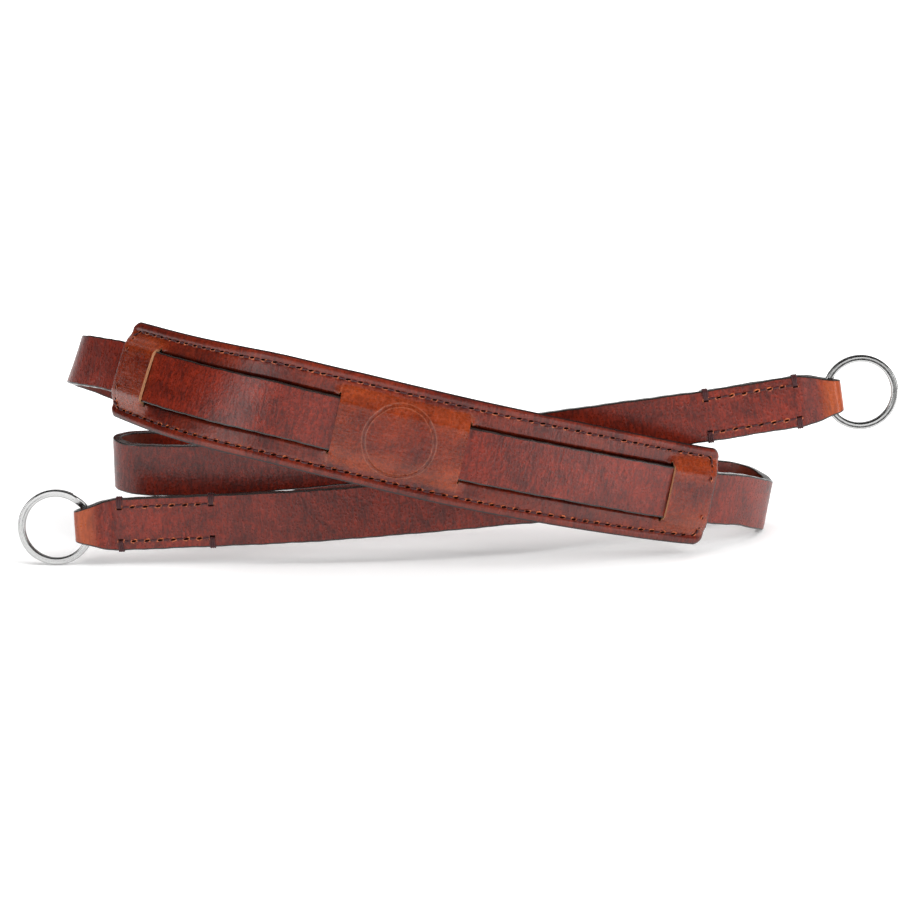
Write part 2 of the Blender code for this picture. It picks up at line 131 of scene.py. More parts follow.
def level_line(knots, values, at):
    """A smooth line through the values that never passes a value and stays level between equal ones."""
    gaps = np.diff(knots)
    slopes = np.diff(values) / gaps
    tangents = np.zeros(len(knots))
    for i in range(1, len(knots) - 1):
        if slopes[i - 1] * slopes[i] > 0.0:
            tangents[i] = 2.0 * slopes[i - 1] * slopes[i] / (slopes[i - 1] + slopes[i])
    tangents[0], tangents[-1] = slopes[0], slopes[-1]
    i = np.clip(np.searchsorted(knots, at, side="right") - 1, 0, len(knots) - 2)
    x = (at - knots[i]) / gaps[i]
    start = values[i] * (1.0 + 2.0 * x) * (1.0 - x) ** 2 + tangents[i] * gaps[i] * x * (1.0 - x) ** 2
    end = values[i + 1] * x * x * (3.0 - 2.0 * x) + tangents[i + 1] * gaps[i] * x * x * (x - 1.0)
    return start + end


def unit(rows):
    return rows / np.linalg.norm(rows, axis=-1, keepdims=True)


class LaidLine:
    """The middle line of the laid band, read by the distance along it from the left ring."""

    def __init__(self, stretches):
        names = [stretch[0] for stretch in stretches for point in stretch[1:]]
        across, back, lift, lean = np.array([point for stretch in stretches for point in stretch[1:]]).T
        across = (across - MIDDLE_ACROSS) * LAID_SPAN
        back = (back - MIDDLE_BACK) * LAID_DEPTH
        lift = lift * BAND_WIDTH
        lean = np.radians(lean)
        chords = np.sqrt(np.diff(across) ** 2 + np.diff(back) ** 2 + np.diff(lift) ** 2)
        knots = np.concatenate([[0.0], np.cumsum(chords)])
        at = np.linspace(0.0, knots[-1], int(knots[-1] / ROUTE_STEP) + 1)
        places = flowing_line(knots, across, at), flowing_line(knots, back, at), level_line(knots, lift, at)
        self.points = np.stack(places, axis=1)
        self.leans = level_line(knots, lean, at)
        steps = np.linalg.norm(np.diff(self.points, axis=0), axis=1)
        self.along = np.concatenate([[0.0], np.cumsum(steps)])
        self.length = float(self.along[-1])
        self.tangents = np.gradient(self.points, self.along, axis=0)
        turn = np.gradient(np.unwrap(np.arctan2(self.tangents[:, 1], self.tangents[:, 0])), self.along)
        self.turns = np.convolve(turn, np.ones(9) / 9.0, mode="same")
        self.places = dict(zip(names, np.interp(knots, at, self.along)))

    def frames(self, along):
        """Middles, ways along, ways up the width, and ways out of the left face."""
        along = np.atleast_1d(np.asarray(along, dtype=float))
        beyond = along - np.clip(along, 0.0, self.length)
        middle = np.stack([np.interp(along, self.along, self.points[:, k]) for k in range(3)], axis=1)
        way = unit(np.stack([np.interp(along, self.along, self.tangents[:, k]) for k in range(3)], axis=1))
        lean = np.interp(along, self.along, self.leans)[:, None]
        upright = unit(np.array([0.0, 0.0, 1.0]) - way * way[:, 2:3])
        left = np.cross(upright, way)
        up = upright * np.cos(lean) + left * np.sin(lean)
        return middle + way * beyond[:, None], way, up, np.cross(up, way)

    def frame_at(self, along):
        return (rows[0] for rows in self.frames(along))


band_line = LaidLine(ROUTE)


def table_value(table, x):
    knots = np.array([row[0] for row in table])
    return level_line(knots, np.array([row[1] for row in table]), np.clip(x, knots[0], knots[-1]))


def end_width(from_tip):
    return BAND_WIDTH - (BAND_WIDTH - TIP_WIDTH) * table_value(TIP_TAPER, from_tip / EYE_LENGTH)


LAYERS_APART = (LAYER_THICKNESS + LAYER_GAP) / 2.0
EYE_RADIUS = RING_WIRE_STACK / 2.0 + 1.3 * PLAY + LAYER_THICKNESS / 2.0


def layer_offset(from_tip):
    """How far a layer's middle lies off the band's middle plane, behind the bend of the eye."""
    share = (from_tip - EYE_RADIUS) / (EYE_LENGTH - EYE_RADIUS)
    return LAYERS_APART + (EYE_RADIUS - LAYERS_APART) * table_value(EYE_OPENING, share)


def folded_end():
    """A folded end from its cut end round the eye: rows of distance from the tip, offset and thickness."""
    straight = np.linspace(FOLDED_LENGTH, EYE_LENGTH, 24)
    opening = np.linspace(EYE_LENGTH, EYE_RADIUS, 14)[1:]
    run = np.concatenate([straight, opening])
    offsets = layer_offset(run)
    angles = np.pi * np.arange(1, 16) / 16.0
    from_tip = np.concatenate([run, EYE_RADIUS * (1.0 - np.sin(angles)), run[::-1]])
    offset = np.concatenate([offsets, EYE_RADIUS * np.cos(angles), -offsets[::-1]])
    thickness = np.full(len(from_tip), LAYER_THICKNESS)
    thickness[:4] *= (0.35, 0.6, 0.8, 0.95)
    skive = np.linspace(0.0, 1.0, 5)[1:]
    from_tip = np.concatenate([from_tip, FOLDED_LENGTH + PLAY + SKIVE_LENGTH * skive])
    offset = np.concatenate([offset, -LAYERS_APART * (1.0 - smooth_step(skive))])
    full = LAYER_THICKNESS + (BAND_THICKNESS - LAYER_THICKNESS) * smooth_step(skive)
    return from_tip, offset, np.concatenate([thickness, full])


def strip_section(half_width, half_thickness):
    """A strip's rounded section from its upper edge round its right face: up, left and edge paint."""
    rounding = min(EDGE_ROUNDING, 0.8 * half_thickness)
    flat = half_thickness - rounding
    face = half_width - rounding
    section = []
    for share in (1.0, 0.5, 0.0, -0.5, -1.0):
        section.append((half_width + FACE_CROWN * (1.0 - share * share), flat * share, 1.0))
    corner = []
    for turn in np.radians((22.5, 45.0, 67.5)):
        corner.append((face + rounding * math.cos(turn), -flat - rounding * math.sin(turn), 1.0))
    for share, paint in ((0.0, 1.0), (0.55, 0.9), (1.0, 0.0)):
        corner.append((face - PAINT_BORDER * share, -half_thickness, paint))
    section += corner
    for share in (0.8, 0.62, 0.42, 0.21, 0.0, -0.21, -0.42, -0.62, -0.8):
        section.append((half_width * share, -half_thickness - FACE_CROWN * (1.0 - share * share), 0.0))
    section += [(-up, left, paint) for up, left, paint in corner[::-1]]
    section += [(-up, -left, paint) for up, left, paint in section]
    return np.array(section)


def put_in_scene(name, content):
    thing = bpy.data.objects.new(name, content)
    bpy.context.scene.collection.objects.link(thing)
    return thing


def add_piece(name, mesh, slot, *nodes):
    """Puts a finished mesh into the scene, in the place of the plain solids that it stands for."""
    piece = put_in_scene(name, mesh)
    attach(piece, "root")
    if nodes:
        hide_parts(*nodes)


def give_points(mesh, **fields):
    """Stores what each point of a mesh knows about its place in the leather: numbers, or rows of three."""
    for name, values in fields.items():
        values = np.asarray(values, dtype=np.float32)
        in_threes = values.size == 3 * len(mesh.vertices)
        field = mesh.attributes.new(name, "FLOAT_VECTOR" if in_threes else "FLOAT", "POINT")
        field.data.foreach_set("vector" if in_threes else "value", values.ravel())


def tube_faces(rounds, sides):
    """The faces of a closed tube whose points are numbered round by round."""
    corners = np.arange(sides)
    following = np.roll(corners, -1)
    faces = []
    for low in range(0, (rounds - 1) * sides, sides):
        high = low + sides
        faces += np.stack([low + corners, low + following, high + following, high + corners], axis=1).tolist()
    return faces + [list(range(sides))[::-1], list(range((rounds - 1) * sides, rounds * sides))]


def face_outward(mesh):
    shell = bmesh.new()
    shell.from_mesh(mesh)
    bmesh.ops.recalc_face_normals(shell, faces=shell.faces[:])
    shell.to_mesh(mesh)
    shell.free()
    mesh.shade_smooth()


def strip_mesh(name, middles, ups, widths, thicknesses, bends, pulls):
    """One closed strip through rounded sections, which knows its own flat pattern."""
    ways = unit(np.gradient(middles, axis=0))
    ups = unit(ups - ways * np.sum(ups * ways, axis=1, keepdims=True))
    lefts = np.cross(ups, ways)
    steps = np.linalg.norm(np.diff(middles, axis=0), axis=1)
    run = np.concatenate([[0.0], np.cumsum(steps)])
    sections = np.array([strip_section(wide / 2.0, thick / 2.0) for wide, thick in zip(widths, thicknesses)])
    over, aside, paint = np.moveaxis(sections, 2, 0)
    # A hand-cut edge wanders a little
    wander = 0.00005 * np.sin(run * 410.0) + 0.00004 * np.sin(run * 1130.0 + 1.0)
    over = over * (1.0 + wander / BAND_WIDTH * 2.0)[:, None]
    points = middles[:, None] + over[..., None] * ups[:, None] + aside[..., None] * lefts[:, None]
    run = np.broadcast_to(run[:, None], paint.shape)
    mesh = bpy.data.meshes.new(name)
    mesh.from_pydata(points.reshape(-1, 3).tolist(), [], tube_faces(*paint.shape))
    painted = paint.ravel()
    for face in mesh.polygons:
        if min(painted[corner] for corner in face.vertices) > 0.95:
            face.material_index = 1
    give_points(
        mesh, flat_pattern=np.stack([run, over, aside], axis=2), edge_paint=paint,
        inside_bend=np.clip(bends[:, None] * np.sign(aside) / TIGHT_BEND, 0.0, 1.0) * (1.0 - paint),
        pull=np.broadcast_to(pulls[:, None], paint.shape),
    )
    face_outward(mesh)
    mesh.set_sharp_from_angle(angle=SHARP_ANGLE)
    return mesh


def laid_band():
    """Stations of the whole band: folded end, full band, folded end."""
    from_tip, offset, thickness = folded_end()
    full_from = from_tip[-1] + BAND_STEP
    full_to = band_line.length - full_from
    full = np.linspace(full_from, full_to, int(round((full_to - full_from) / BAND_STEP)) + 1)
    along = np.concatenate([from_tip, full, band_line.length - from_tip[::-1]])
    middle, _, up, left = band_line.frames(along)
    bends = np.interp(along, band_line.along, band_line.turns)
    bends[: len(from_tip)] = 0.0
    bends[-len(from_tip) :] = 0.0

    def end_to_end(at_end, between):
        return np.concatenate([at_end, np.full(len(full), between), at_end[::-1]])

    thicknesses = end_to_end(thickness, BAND_THICKNESS)
    widths = end_to_end(end_width(from_tip), BAND_WIDTH)
    pulls = end_to_end(smooth_step(1.6 - from_tip / PULLED_ROUND_EYE), 0.0)
    middle += left * end_to_end(offset, 0.0)[:, None]
    return strip_mesh("strap_leather", middle, up, widths, thicknesses, bends, pulls)


# The leather's finish: a pattern of pores and creases, uneven dye, and painted edges, each one a group of
# nodes that the band, the pad and its back use with values of their own.
def new_group(name, inputs, outputs, kind="ShaderNodeTree"):
    group = bpy.data.node_groups.new(name, kind)
    for label, content, value in inputs:
        socket = group.interface.new_socket(label, in_out="INPUT", socket_type="NodeSocket" + content)
        if value is not None:
            socket.default_value = value
    for label, content in outputs:
        group.interface.new_socket(label, in_out="OUTPUT", socket_type="NodeSocket" + content)
    return group, group.nodes.new("NodeGroupInput"), group.nodes.new("NodeGroupOutput")


def plug(tree, socket, value):
    """Fills a socket with another node's output, or with a plain value."""
    if isinstance(value, bpy.types.NodeSocket):
        tree.links.new(value, socket)
    else:
        socket.default_value = value


def maths(tree, operation, a, b=0.0, clamp=False):
    node = tree.nodes.new("ShaderNodeMath")
    node.operation = operation
    node.use_clamp = clamp
    plug(tree, node.inputs[0], a)
    plug(tree, node.inputs[1], b)
    return node.outputs[0]


def spread(tree, value, low, high, to_low=0.0, to_high=1.0):
    """Maps the range low to high evenly onto another range, and holds it at the ends."""
    node = tree.nodes.new("ShaderNodeMapRange")
    node.clamp = True
    plug(tree, node.inputs["Value"], value)
    plug(tree, node.inputs["From Min"], low)
    plug(tree, node.inputs["From Max"], high)
    plug(tree, node.inputs["To Min"], to_low)
    plug(tree, node.inputs["To Max"], to_high)
    return node.outputs["Result"]


def blend_colour(tree, share, first, second):
    node = tree.nodes.new("ShaderNodeMix")
    node.data_type = "RGBA"
    plug(tree, node.inputs[0], share)
    plug(tree, node.inputs[6], first)
    plug(tree, node.inputs[7], second)
    return node.outputs[2]


def cloudy(tree, vector, scale, detail=3.0, roughness=0.5, distortion=0.0):
    node = tree.nodes.new("ShaderNodeTexNoise")
    plug(tree, node.inputs["Vector"], vector)
    node.inputs["Scale"].default_value = scale
    node.inputs["Detail"].default_value = detail
    node.inputs["Roughness"].default_value = roughness
    node.inputs["Distortion"].default_value = distortion
    return node.outputs["Fac"]


def stretched(tree, vector, factors):
    node = tree.nodes.new("ShaderNodeVectorMath")
    node.operation = "MULTIPLY"
    plug(tree, node.inputs[0], vector)
    node.inputs[1].default_value = factors
    return node.outputs[0]


def grain_group():
    """Pores, fine creases across the hide and broad unevenness, as a height in shares of one pore."""
    inputs = (("Pattern", "Vector", None), ("Creases", "Float", 0.5))
    outputs = (("Height", "Float"), ("Pores", "Float"), ("Folds", "Float"))
    group, given, made = new_group("leather_grain", inputs, outputs)
    pattern = given.outputs["Pattern"]
    cells = group.nodes.new("ShaderNodeTexVoronoi")
    cells.feature = "SMOOTH_F1"
    cells.inputs["Scale"].default_value = 1350.0
    cells.inputs["Smoothness"].default_value = 0.6
    wander = group.nodes.new("ShaderNodeTexNoise")
    wander.inputs["Scale"].default_value = 700.0
    plug(group, wander.inputs["Vector"], pattern)
    shift = stretched(group, wander.outputs["Color"], (0.0007, 0.0007, 0.0))
    moved = group.nodes.new("ShaderNodeVectorMath")
    plug(group, moved.inputs[0], pattern)
    plug(group, moved.inputs[1], shift)
    plug(group, cells.inputs["Vector"], moved.outputs[0])
    pores = spread(group, cells.outputs["Distance"], 0.15, 0.75, 1.0, 0.0)
    creases = cloudy(group, stretched(group, pattern, (2.2, 0.45, 1.0)), 620.0, 4.0, 0.6, 0.8)
    folds = spread(group, creases, 0.35, 0.65)
    fine = cloudy(group, pattern, 3600.0, 2.0, 0.6)
    height = maths(group, "ADD", maths(group, "MULTIPLY", pores, 0.55), maths(group, "MULTIPLY", fine, 0.25))
    height = maths(group, "ADD", height, maths(group, "MULTIPLY", folds, given.outputs["Creases"]))
    plug(group, made.inputs["Height"], height)
    plug(group, made.inputs["Pores"], pores)
    plug(group, made.inputs["Folds"], folds)
    return group


def dye_group():
    """Uneven dye: lighter and darker clouds, darker pores, and a lighter tone where the hide is pulled."""
    inputs = (
        ("Pattern", "Vector", None), ("Dark", "Color", (0.0, 0.0, 0.0, 1.0)),
        ("Light", "Color", (1.0, 1.0, 1.0, 1.0)), ("Pulled", "Color", (1.0, 0.5, 0.0, 1.0)),
        ("Pull", "Float", 0.0), ("Pores", "Float", 0.0), ("Folds", "Float", 0.5),
    )
    group, given, made = new_group("leather_dye", inputs, (("Color", "Color"),))
    pattern = given.outputs["Pattern"]
    clouds = cloudy(group, stretched(group, pattern, (1.0, 1.3, 1.0)), 85.0, 4.0, 0.55, 0.4)
    specks = cloudy(group, stretched(group, pattern, (1.3, 0.8, 1.0)), 900.0, 3.0, 0.6)
    specks = maths(group, "MULTIPLY", specks, 0.30)
    mottled = maths(group, "ADD", maths(group, "MULTIPLY", clouds, 0.5), specks)
    mottled = maths(group, "ADD", mottled, maths(group, "MULTIPLY", given.outputs["Folds"], 0.20))
    share = spread(group, mottled, 0.36, 0.64)
    colour = blend_colour(group, share, given.outputs["Dark"], given.outputs["Light"])
    unevenness = spread(group, clouds, 0.3, 0.7, -0.22, 0.22)
    uneven = maths(group, "ADD", given.outputs["Pull"], unevenness, clamp=True)
    uneven = maths(group, "MULTIPLY", uneven, spread(group, given.outputs["Pull"], 0.0, 0.15))
    colour = blend_colour(group, uneven, colour, given.outputs["Pulled"])
    dimmed = spread(group, given.outputs["Pores"], 0.0, 1.0, 0.0, 0.42)
    colour = blend_colour(group, dimmed, colour, (0.025, 0.003, 0.001, 1.0))
    plug(group, made.inputs["Color"], colour)
    return group


grain = grain_group()
dye = dye_group()


def new_finish(name):
    finish = bpy.data.materials.new(name)
    finish.use_nodes = True
    return finish, finish.node_tree, finish.node_tree.nodes["Principled BSDF"]


def point_value(tree, name, output="Fac"):
    node = tree.nodes.new("ShaderNodeAttribute")
    node.attribute_name = name
    return node.outputs[output]


def place_group(tree, group, **values):
    node = tree.nodes.new("ShaderNodeGroup")
    node.node_tree = group
    for label, value in values.items():
        plug(tree, node.inputs[label], value)
    return node


def split_up(tree, vector):
    node = tree.nodes.new("ShaderNodeSeparateXYZ")
    plug(tree, node.inputs[0], vector)
    return node.outputs["X"], node.outputs["Y"]


def cover(tree, shader, colour, roughness, height=None, strength=0.0, distance=0.0001):
    """Gives a finish its colour and roughness, and where it has a height, a bump that turns the light."""
    plug(tree, shader.inputs["Base Color"], colour)
    plug(tree, shader.inputs["Roughness"], roughness)
    if height is None:
        return
    node = tree.nodes.new("ShaderNodeBump")
    node.inputs["Strength"].default_value = strength
    node.inputs["Distance"].default_value = distance
    plug(tree, node.inputs["Height"], height)
    plug(tree, shader.inputs["Normal"], node.outputs["Normal"])


def small_finish(name, noise, tones, roughness, bump=0.0, between=None, specular=0.5):
    """A finish for a small part without a flat pattern: noise through it sets its tone and its bump."""
    finish, tree, shader = new_finish(name)
    uneven = cloudy(tree, tree.nodes.new("ShaderNodeTexCoord").outputs["Object"], *noise)
    share = spread(tree, uneven, *between) if between else uneven
    rough = spread(tree, uneven, 0.3, 0.7, *roughness) if isinstance(roughness, tuple) else roughness
    cover(tree, shader, blend_colour(tree, share, *tones), rough, uneven if bump else None, bump)
    shader.inputs["Specular IOR Level"].default_value = specular
    return finish, shader


# How deep the leather's pores and creases are
LEATHER_BUMP = (0.80, 0.00006)
PAINT_BORDER_TONE = (0.012, 0.007, 0.007, 1.0)


def band_finish():
    """Reddish brown smooth leather, browner and more creased inside a bend, with dark painted edges."""
    finish, tree, shader = new_finish("strap_cognac")
    pattern = point_value(tree, "flat_pattern", "Vector")
    edge = point_value(tree, "edge_paint")
    inner = point_value(tree, "inside_bend")
    creases = spread(tree, inner, 0.0, 1.0, 0.45, 0.9)
    texture = place_group(tree, grain, Pattern=pattern, Creases=creases)
    tone = place_group(
        tree, dye, Pattern=pattern, Dark=(0.074, 0.0048, 0.0016, 1.0), Light=(0.255, 0.0200, 0.0058, 1.0),
        Pulled=(0.12, 0.015, 0.003, 1.0), Pull=inner, Pores=texture.outputs["Pores"],
        Folds=texture.outputs["Folds"],
    )
    folded = spread(tree, texture.outputs["Folds"], 0.0, 1.0, 0.5, 0.9)
    eye_tone = maths(tree, "MULTIPLY", point_value(tree, "pull"), folded)
    colour = blend_colour(tree, eye_tone, tone.outputs["Color"], (0.42, 0.078, 0.016, 1.0))
    colour = blend_colour(tree, edge, colour, PAINT_BORDER_TONE)
    satin = spread(tree, texture.outputs["Height"], 0.2, 1.2, 0.38, 0.22)
    satin = maths(tree, "ADD", satin, spread(tree, inner, 0.0, 1.0, 0.0, 0.2))
    smoothed = maths(tree, "MULTIPLY", texture.outputs["Height"], spread(tree, edge, 0.0, 1.0, 1.0, 0.25))
    cover(tree, shader, colour, satin, smoothed, *LEATHER_BUMP)
    return finish


# Dark edge paint, laid on thick and rubbed smooth, a little uneven
painted_edge, paint_shader = small_finish(
    "edge_paint", (420.0, 3.0, 0.5), ((0.008, 0.0060, 0.0055, 1.0), (0.034, 0.026, 0.023, 1.0)),
    (0.20, 0.32), bump=0.25,
)
paint_shader.inputs["IOR"].default_value = 1.6
band_mesh = laid_band()
band_mesh.materials.append(band_finish())
band_mesh.materials.append(painted_edge)
add_piece("strap_leather", band_mesh, "band_leather", "strap_band")

# The shoulder pad is two flat leathers sewn together round their edge, with nothing between them. The top one
# has four slits, and the three stretches that lie over the band are its keepers: one at each end, and a long
# one in the middle that is pressed with a thin plain ring.
PAD_LENGTH = 0.1915
PAD_MIDDLE_WIDTH = 0.0302
PAD_END_WIDTH = 0.0280
PAD_CORNER_RADIUS = 0.0030
PAD_TOP_THICKNESS = 0.0012
PAD_BACK_THICKNESS = 0.0014
END_KEEPER_LENGTH = 0.0162
CENTRE_KEEPER_LENGTH = 0.0370
SLIT_LENGTH = 0.0172
SLIT_WIDTH = 0.0006
PAD_GRID = 0.0006
SEAM_INSET = 0.0024
SEAM_PITCH = 0.0035
SEAM_CORNER = 0.0022
SEAM_DEPTH = 0.00030
MARGIN_ROLL = 0.00030
WORN_THICKNESS = 0.00095
KEEPER_PLAY = 0.00012
UNSEWN_HALF = 0.0125
END_DRAWN_IN = 0.0020
PRESSED_RING_RADIUS = 0.0098
PRESSED_RING_DROP = 0.0007
PRESSED_RING_LINE = 0.00055

PAD_START = band_line.places["pad middle"] - PAD_LENGTH / 2.0
WINDOW_LEVEL = -(BAND_THICKNESS / 2.0 + PLAY + PAD_TOP_THICKNESS / 2.0)
KEEPER_LEVEL = BAND_THICKNESS / 2.0 + KEEPER_PLAY + WORN_THICKNESS / 2.0
BACK_LEVEL = WINDOW_LEVEL - PAD_TOP_THICKNESS / 2.0 - PLAY - PAD_BACK_THICKNESS / 2.0
KEEPER_SHOULDER = 0.0063
KEEPER_FOOT = SLIT_LENGTH / 2.0 + 0.0026
KEEPER_RUN_OUT = 0.0030
MARGIN_STEP = 0.0011
MARGIN_FROM = BAND_WIDTH / 2.0 + 0.0001
MARGIN_TO = BAND_WIDTH / 2.0 + 0.0009
PAD_CENTRE = PAD_LENGTH / 2.0
SLITS = (
    END_KEEPER_LENGTH,
    PAD_CENTRE - CENTRE_KEEPER_LENGTH / 2.0,
    PAD_CENTRE + CENTRE_KEEPER_LENGTH / 2.0,
    PAD_LENGTH - END_KEEPER_LENGTH,
)


def pad_half_width(along):
    """Half the pad's width at a distance from its end, with rounded corners."""
    share = 2.0 * along / PAD_LENGTH - 1.0
    half = (PAD_MIDDLE_WIDTH + (PAD_END_WIDTH - PAD_MIDDLE_WIDTH) * share * share) / 2.0
    from_end = np.minimum(np.minimum(along, PAD_LENGTH - along), PAD_CORNER_RADIUS)
    return half - PAD_CORNER_RADIUS + np.sqrt(PAD_CORNER_RADIUS**2 - (PAD_CORNER_RADIUS - from_end) ** 2)


def keeper_share(along, off):
    """1 in a keeper and 0 in a window: a jump at a slit, and a run-out past the slit's ends."""
    past_slit = (off - BAND_WIDTH / 2.0) / (SLIT_LENGTH / 2.0 - BAND_WIDTH / 2.0)
    run_out = np.maximum(KEEPER_RUN_OUT * smooth_step(past_slit), SLIT_WIDTH / 4.0)
    into_first = np.minimum(along - SLITS[0], SLITS[1] - along)
    into_second = np.minimum(along - SLITS[2], SLITS[3] - along)
    return smooth_step(0.5 - np.maximum(into_first, into_second) / (2.0 * run_out))


def margin_level(under_band, off):
    """A leather's level behind the band, and further forward beside it."""
    return under_band + MARGIN_STEP * smooth_step((off - MARGIN_FROM) / (MARGIN_TO - MARGIN_FROM))


def top_level(along, off):
    shoulder = smooth_step((KEEPER_FOOT - off) / (KEEPER_FOOT - KEEPER_SHOULDER))
    beside = margin_level(WINDOW_LEVEL, off)
    crown = KEEPER_LEVEL + 0.00015 * (1.0 - np.minimum(off / KEEPER_SHOULDER, 1.0) ** 2)
    return beside + (crown - beside) * shoulder * keeper_share(along, off)


def from_border(along, off):
    """Distance from the pad's border, long side or end, whichever is nearer."""
    return np.minimum(pad_half_width(along) - off, np.minimum(along, PAD_LENGTH - along))


def top_relief(along, off):
    """The seam pulls the leather in at its stitches, and the margin outside it rolls over."""
    inset = from_border(along, off)
    on_seam = np.exp(-(((inset - SEAM_INSET) / 0.00055) ** 2))
    at_end = smooth_step(1.5 - np.minimum(along, PAD_LENGTH - along) / 0.0028)
    sewn = 1.0 - at_end * smooth_step((UNSEWN_HALF - off) / 0.004)
    beat = 0.6 + 0.4 * np.cos(along * 2.0 * np.pi / SEAM_PITCH)
    groove = -SEAM_DEPTH * on_seam * beat * sewn
    roll = MARGIN_ROLL * np.sin(np.clip(inset / SEAM_INSET, 0.0, 1.0) * np.pi)
    droop = -0.00018 * (1.0 - smooth_step(inset / 0.0007))
    return groove + roll * sewn + droop


def grid_lines(fixed, step):
    fixed = sorted(fixed)
    lines = [fixed[0]]
    for place in fixed[1:]:
        parts = max(1, math.ceil((place - lines[-1]) / step - 0.01))
        lines += list(np.linspace(lines[-1], place, parts + 1)[1:])
    return np.array(lines)


def pad_rows():
    fixed = {PAD_CORNER_RADIUS * share for share in (0.0, 0.03, 0.1, 0.2, 0.35, 0.55, 0.75, 1.0)}
    fixed |= {PAD_LENGTH - place for place in fixed}
    for slit in SLITS:
        fixed |= {slit - 0.5 * SLIT_WIDTH, slit + 0.5 * SLIT_WIDTH}
    return grid_lines(fixed, PAD_GRID)


def pad_columns():
    """Places across half the pad: distance from the middle, and share of what is left to the border."""
    inner = grid_lines({0.0, KEEPER_SHOULDER * 0.85}, 0.0011)
    fixed = {KEEPER_SHOULDER * 0.85, MARGIN_FROM, MARGIN_TO, SLIT_LENGTH / 2.0, KEEPER_FOOT}
    shoulder = grid_lines(fixed, 0.00040)
    margin = grid_lines({0.0, 0.8, 1.0}, 0.09)
    columns = [(place, 0.0) for place in inner] + [(place, 0.0) for place in shoulder[1:]]
    return columns + [(KEEPER_FOOT, share) for share in margin[1:]]


def drawn_in(along, off):
    """How far the pad's end edge is drawn in where it rides over the band."""
    over_band = smooth_step((KEEPER_FOOT - off) / 0.0060)
    at_first = np.clip(1.0 - along / END_KEEPER_LENGTH, 0.0, 1.0)
    at_last = np.clip(1.0 - (PAD_LENGTH - along) / END_KEEPER_LENGTH, 0.0, 1.0)
    return END_DRAWN_IN * over_band * (at_first - at_last)


def worked_mesh(carrier):
    """A carrier's plain mesh once its modifier has worked on it; the carrier goes."""
    shaped = bpy.data.meshes.new_from_object(carrier.evaluated_get(bpy.context.evaluated_depsgraph_get()))
    bpy.data.objects.remove(carrier)
    return shaped


def pad_leather(name, level, slits, thickness, rim):
    """A sheet of pad leather laid out as a grid on its middle surface, and given its thickness."""
    rows = pad_rows()
    half_columns = pad_columns()
    columns = [(-1.0, *column) for column in half_columns[:0:-1]]
    columns += [(1.0, *column) for column in half_columns]
    side, fixed, rest = np.array(columns).T
    half = pad_half_width(rows)
    off = fixed[None, :] + (half[:, None] - fixed[None, :]) * rest[None, :]
    along = np.repeat(rows[:, None], len(columns), axis=1)
    height = level(along, off)
    laid = PAD_START + along
    if slits:
        laid += drawn_in(along, off)
    middle, _, up, front = (part.reshape(*off.shape, 3) for part in band_line.frames(laid.ravel()))
    points = middle + up * (side * off)[:, :, None] + front * height[:, :, None]
    number = np.arange(off.size).reshape(off.shape)
    between = (rows[:-1] + rows[1:]) / 2.0
    cut = np.array([any(abs(place - slit) < SLIT_WIDTH / 4.0 for slit in slits) for place in between])
    outer = np.maximum(off[:-1, :-1], off[:-1, 1:])
    kept = ~(cut[:, None] & (outer < SLIT_LENGTH / 2.0 + 1e-6))
    faces = np.stack([number[:-1, :-1], number[:-1, 1:], number[1:, 1:], number[1:, :-1]], axis=2)
    mesh = bpy.data.meshes.new(name)
    mesh.from_pydata(points.reshape(-1, 3).tolist(), [], faces[kept].tolist())
    give_points(
        mesh, flat_pattern=np.stack([along, side * off, np.zeros(off.shape)], axis=2),
        keeper=keeper_share(along, off) * smooth_step((KEEPER_FOOT + 0.0008 - off) / 0.0016),
        from_border=from_border(along, off),
    )
    sheet = bmesh.new()
    sheet.from_mesh(mesh)
    bmesh.ops.recalc_face_normals(sheet, faces=sheet.faces[:])
    loose = [point for point in sheet.verts if not point.link_faces]
    bmesh.ops.delete(sheet, geom=loose, context="VERTS")
    sheet.faces.ensure_lookup_table()
    front_middle = Vector(front[len(rows) // 2, len(columns) // 2])
    if sheet.faces[len(sheet.faces) // 2].normal.dot(front_middle) < 0.0:
        bmesh.ops.reverse_faces(sheet, faces=sheet.faces[:])
    sheet.to_mesh(mesh)
    sheet.free()
    for finish in rim:
        mesh.materials.append(finish)
    piece = put_in_scene(name, mesh)
    wall = piece.modifiers.new("thickness", "SOLIDIFY")
    wall.thickness = thickness
    wall.offset = 0.0
    wall.material_offset_rim = 1
    shaped = worked_mesh(piece)
    shaped.name = name
    border = np.zeros(len(shaped.vertices), dtype=np.float32)
    shaped.attributes["from_border"].data.foreach_get("value", border)
    for face in shaped.polygons:
        if face.material_index == 1 and max(border[i] for i in face.vertices) < 0.0002:
            face.material_index = 2
    shaped.shade_smooth()
    shaped.set_sharp_from_angle(angle=SHARP_ANGLE)
    return shaped


def keeper_pull(tree, pattern, keeper):
    """More pull at a keeper's slits and shoulders than over the middle of the band."""
    along, across = split_up(tree, pattern)
    off = maths(tree, "ABSOLUTE", across)
    shoulder = spread(tree, off, 0.0035, 0.0085, 0.06, 0.52)
    off_centre = maths(tree, "ABSOLUTE", maths(tree, "SUBTRACT", along, PAD_CENTRE))
    at_slit = spread(tree, off_centre, 0.006, CENTRE_KEEPER_LENGTH / 2.0, 0.0, 0.20)
    at_end = spread(tree, off_centre, CENTRE_KEEPER_LENGTH / 2.0, 0.030, 1.0, 0.0)
    pull = maths(tree, "ADD", shoulder, maths(tree, "MULTIPLY", at_slit, at_end))
    return maths(tree, "ADD", maths(tree, "MULTIPLY", pull, keeper), 0.08)


